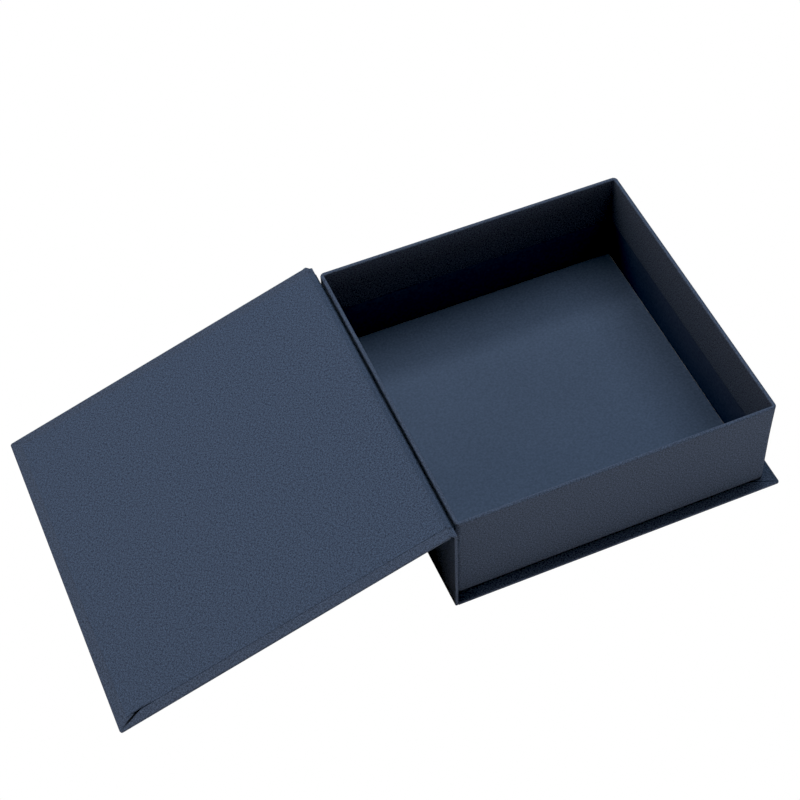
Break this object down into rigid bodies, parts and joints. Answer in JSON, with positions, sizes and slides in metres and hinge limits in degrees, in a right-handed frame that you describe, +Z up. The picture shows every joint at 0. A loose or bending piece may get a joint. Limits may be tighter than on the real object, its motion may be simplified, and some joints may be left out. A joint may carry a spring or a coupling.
{
  "type": "clamshell presentation box",
  "caption": "Book-style presentation box in dark blue cloth: a square open tray on a base board, with a cloth-hinged lid folded right open on to the table.",
  "frame": {"origin": "middle of the closed box's footprint (spine's outer face to the base's fore-edge), on the table", "axes": "+Z up, +X from the spine to the fore-edge, +Y along the spine; the open lid lies to -X"},
  "size_m": [0.4764, 0.252, 0.0821],
  "materials": {
    "greyboard": "bare greyboard, hidden under the cloth",
    "book_cloth": "matt dark slate-blue book cloth, fine plain weave",
    "lining_cloth": "the same cloth, flat and matt, as a lining",
    "lining_paper": "smooth matt dark blue lining paper"
  },
  "bodies": {
    "box": {"base_board": "greyboard", "spine_board": "greyboard", "tray_front_wall": "greyboard", "tray_back_wall": "greyboard", "tray_spine_wall": "greyboard", "tray_fore_edge_wall": "greyboard", "tray_floor_board": "greyboard", "base_cover_cloth": "book_cloth", "spine_cover_cloth": "book_cloth", "tray_cover_cloth": "book_cloth", "spine_liner": "lining_cloth", "tray_floor_liner": "lining_paper", "front_wall_liner": "lining_paper", "back_wall_liner": "lining_paper", "spine_wall_liner": "lining_paper", "fore_edge_wall_liner": "lining_paper"},
    "hinge": {"lid_hinge_cloth": "book_cloth", "lid_hinge_lining": "lining_cloth"},
    "lid": {"lid_board": "greyboard", "lid_cover_cloth": "book_cloth", "lid_liner": "lining_cloth"}
  },
  "joints": [
    {"name": "spine_fold", "type": "hinge", "parent": "box", "child": "hinge", "pos_m": [-0.1221, 0, 0.07986], "axis": [0, 1, 0], "range_deg": [0, 99.64]},
    {"name": "lid_fold", "type": "hinge", "parent": "hinge", "child": "lid", "pos_m": [-0.12484, 0, 0.08203], "axis": [0, 1, 0], "range_deg": [0, 99.64]}
  ],
  "couplings": [
    {"joint": "lid_fold", "follows": "spine_fold", "ratio": 1}
  ]
}
